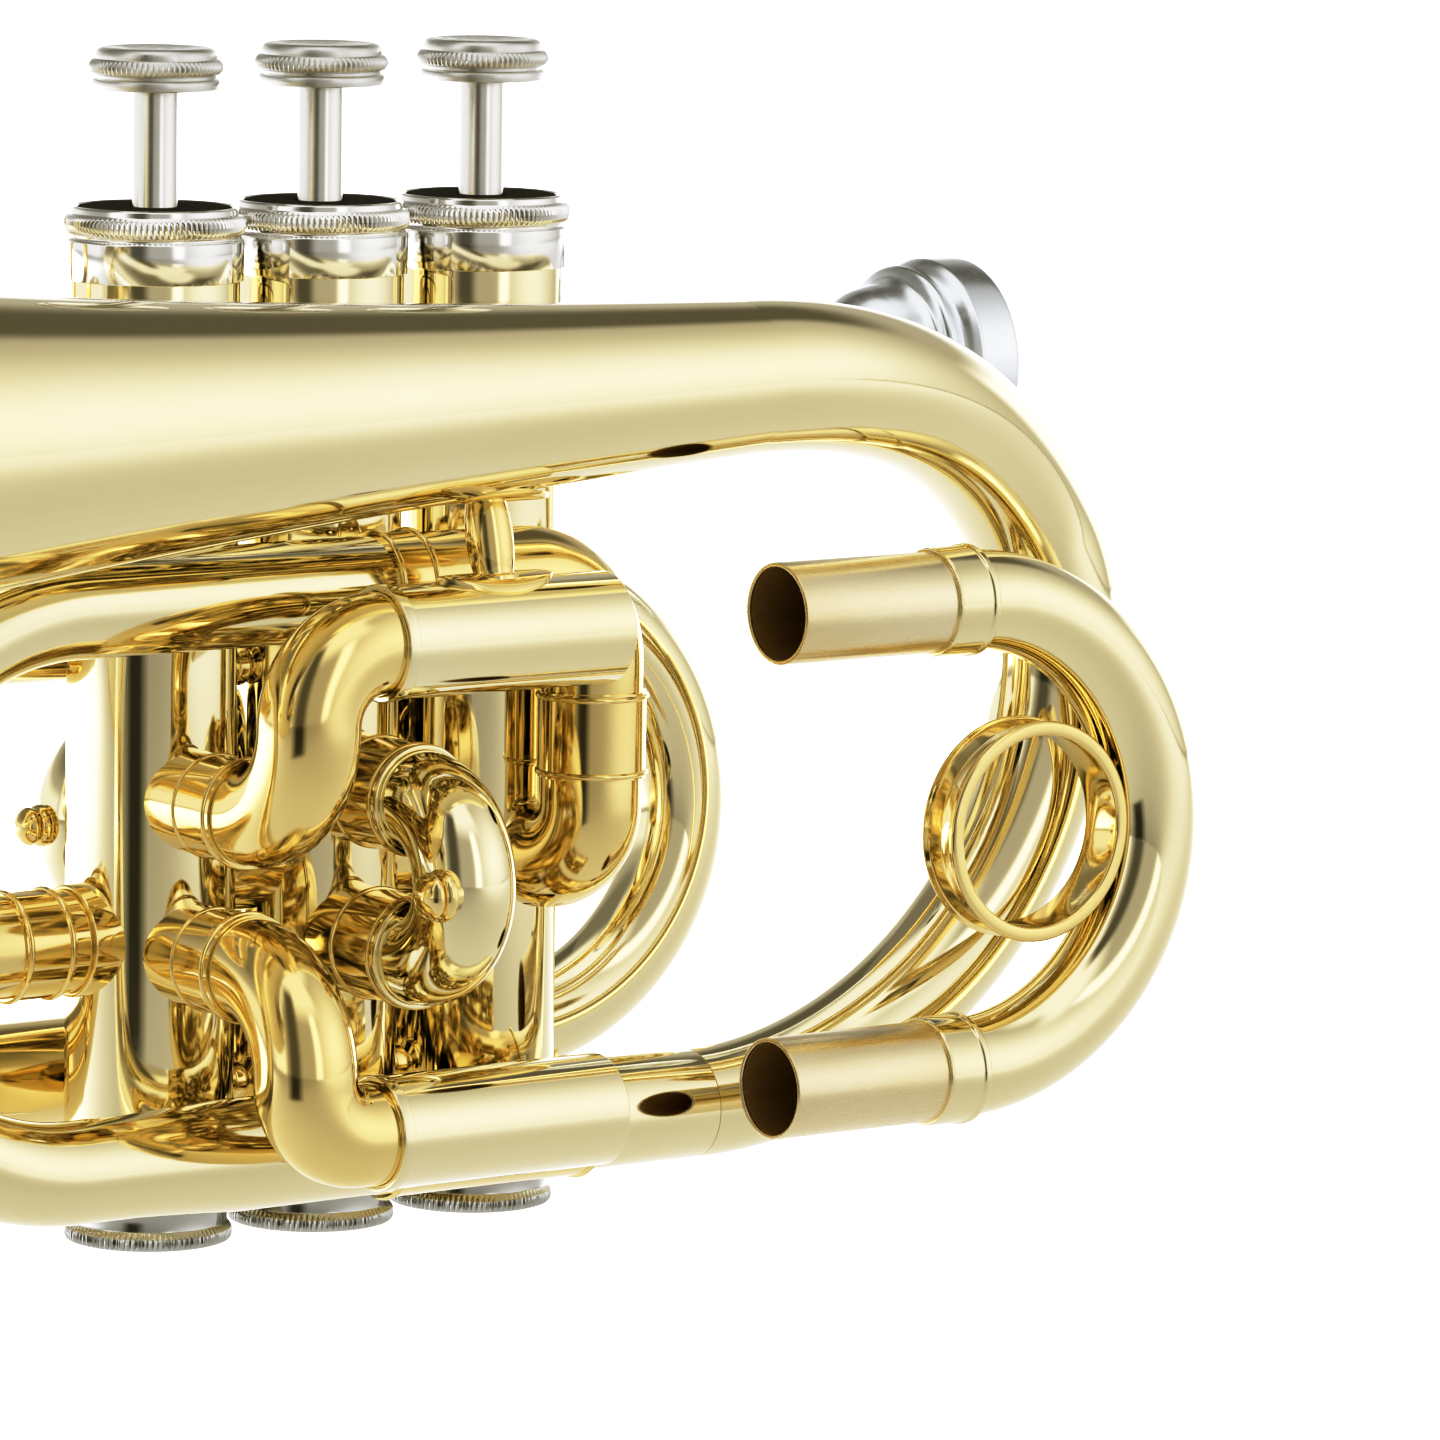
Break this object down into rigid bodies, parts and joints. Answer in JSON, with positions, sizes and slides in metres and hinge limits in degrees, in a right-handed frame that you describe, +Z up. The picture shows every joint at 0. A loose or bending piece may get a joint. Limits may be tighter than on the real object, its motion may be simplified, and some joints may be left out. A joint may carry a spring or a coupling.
{
  "type": "cornet",
  "caption": "B flat cornet with a flared bell, piston valves with finger buttons, tuning slides, a finger ring on the drawn third slide and a cup mouthpiece.",
  "frame": {"origin": "on the middle valve's axis, 51.2 mm above the axis of the bottom tube", "axes": "+Z up the valves, +X towards the player, the bell facing -X, -Y the player's left, with the third slide"},
  "size_m": [0.3021, 0.1308, 0.159],
  "materials": {
    "lacquered_brass": "polished, clear lacquer",
    "lacquered_brass_light": "mirror polished, clear lacquer",
    "worn_brass": "bare drawn tube, satin with fine drawing lines",
    "silver_plate": "polished silver plate",
    "nickel": "lapped nickel plate",
    "steel": "turned, fine tool marks",
    "black_felt": "dense felt"
  },
  "bodies": {
    "cornet_body": {"bell": "lacquered_brass_light", "bell_rim_wire": "lacquered_brass", "bell_bow": "lacquered_brass_light", "bell_tail": "lacquered_brass_light", "bell_sleeve": "lacquered_brass", "front_crook": "lacquered_brass_light", "top_branch": "lacquered_brass_light", "elbow_sleeve": "lacquered_brass", "valve1_elbow": "lacquered_brass", "leadpipe": "lacquered_brass_light", "receiver": "lacquered_brass", "leadpipe_bend": "lacquered_brass_light", "tuning_outer_tubes": "lacquered_brass", "entry_crook": "lacquered_brass", "entry_tube": "lacquered_brass", "casing_1": "lacquered_brass_light", "casing_2": "lacquered_brass_light", "casing_3": "lacquered_brass_light", "casing_links": "lacquered_brass", "third_knuckles": "lacquered_brass", "third_bends": "lacquered_brass", "third_outer_tubes": "lacquered_brass_light", "second_outer_tubes": "lacquered_brass", "first_bends": "lacquered_brass", "first_outer_tubes": "lacquered_brass", "bell_brace": "lacquered_brass", "pipe_braces": "lacquered_brass", "pinky_hook": "lacquered_brass", "lyre_holder": "lacquered_brass", "top_caps": "silver_plate", "bottom_caps": "silver_plate", "cap_felts": "black_felt", "valve_guides": "nickel"},
    "valve_1": {"piston_1": "nickel", "stem_1": "nickel", "button_1": "silver_plate", "valve_spring_1": "steel"},
    "valve_2": {"piston_2": "nickel", "stem_2": "nickel", "button_2": "silver_plate", "valve_spring_2": "steel"},
    "valve_3": {"piston_3": "nickel", "stem_3": "nickel", "button_3": "silver_plate", "valve_spring_3": "steel"},
    "third_slide": {"third_slide_legs": "worn_brass", "third_slide_ferrules": "lacquered_brass_light", "third_slide_bow": "lacquered_brass_light", "finger_ring": "lacquered_brass"},
    "second_slide": {"second_slide": "lacquered_brass_light", "second_slide_knob": "steel"},
    "first_slide": {"first_slide": "lacquered_brass_light", "first_slide_knob": "steel"},
    "tuning_slide": {"tuning_slide_legs": "worn_brass", "tuning_slide_bow": "lacquered_brass_light", "water_key_body": "lacquered_brass"},
    "water_key": {"water_key_plunger": "steel"},
    "mouthpiece": {"mouthpiece": "silver_plate"},
    "lyre_screw": {"lyre_screw": "steel"}
  },
  "joints": [
    {"name": "valve_1_stroke", "type": "slide", "parent": "cornet_body", "child": "valve_1", "axis": [0, 0, -1], "range_m": [0, 0.0136], "stiffness_N_per_m": 120, "springref_m": -0.012, "deforming": ["valve_spring_1"]},
    {"name": "valve_2_stroke", "type": "slide", "parent": "cornet_body", "child": "valve_2", "axis": [0, 0, -1], "range_m": [0, 0.0136], "stiffness_N_per_m": 120, "springref_m": -0.012, "deforming": ["valve_spring_2"]},
    {"name": "valve_3_stroke", "type": "slide", "parent": "cornet_body", "child": "valve_3", "axis": [0, 0, -1], "range_m": [0, 0.0136], "stiffness_N_per_m": 120, "springref_m": -0.012, "deforming": ["valve_spring_3"]},
    {"name": "third_slide_travel", "type": "slide", "parent": "cornet_body", "child": "third_slide", "axis": [1, 0, 0], "range_m": [-0.0487, 0]},
    {"name": "second_slide_travel", "type": "slide", "parent": "cornet_body", "child": "second_slide", "axis": [0, -1, 0], "range_m": [0, 0.01]},
    {"name": "first_slide_travel", "type": "slide", "parent": "cornet_body", "child": "first_slide", "axis": [-1, 0, 0], "range_m": [0, 0.018]},
    {"name": "tuning_slide_travel", "type": "slide", "parent": "cornet_body", "child": "tuning_slide", "axis": [1, 0, 0], "range_m": [0, 0.03]},
    {"name": "water_key_press", "type": "slide", "parent": "tuning_slide", "child": "water_key", "axis": [0, -1, 0], "range_m": [0, 0.0025], "stiffness_N_per_m": 400, "springref_m": -0.002},
    {"name": "mouthpiece_pull", "type": "slide", "parent": "cornet_body", "child": "mouthpiece", "axis": [1, 0, 0], "range_m": [0, 0.03]},
    {"name": "lyre_screw_turn", "type": "hinge", "parent": "cornet_body", "child": "lyre_screw", "pos_m": [-0.056, 0.03, 0.0356], "axis": [0, 1, 0], "range_deg": [0, 360]}
  ]
}
